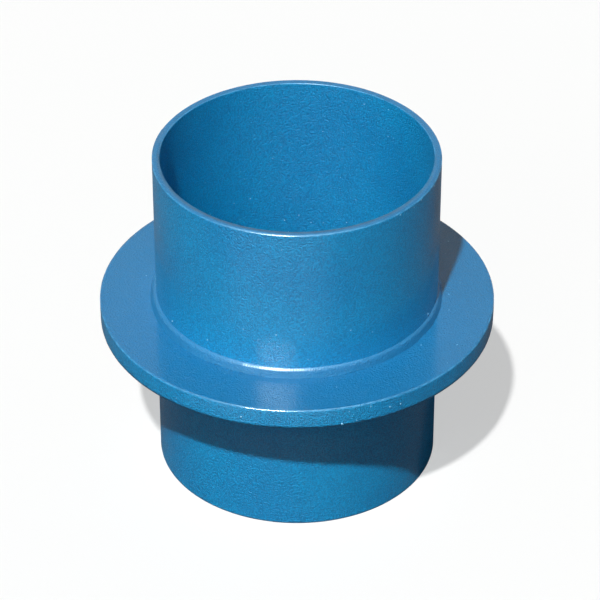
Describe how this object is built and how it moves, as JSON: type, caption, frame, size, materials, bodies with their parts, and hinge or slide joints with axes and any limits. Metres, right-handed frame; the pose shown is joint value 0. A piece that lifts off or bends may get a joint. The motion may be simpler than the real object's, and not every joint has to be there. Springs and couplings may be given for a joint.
{
  "type": "rigid waterproof sleeve",
  "caption": "Short blue steel pipe sleeve with a flat ring welded round its middle, cast into a wall or slab so that a service pipe can pass through without leaks.",
  "frame": {"origin": "centre of the pipe's lower end", "axes": "+Z along the pipe's axis, from the lower end to the upper end; -Y towards the camera of the picture"},
  "size_m": [0.3819, 0.382, 0.335],
  "materials": {
    "blue_enamel": "glossy sprayed enamel with a fine orange peel"
  },
  "bodies": {
    "root": {"sleeve_pipe": "blue_enamel", "water_stop_ring": "blue_enamel", "upper_weld": "blue_enamel", "lower_weld": "blue_enamel"}
  },
  "joints": []
}
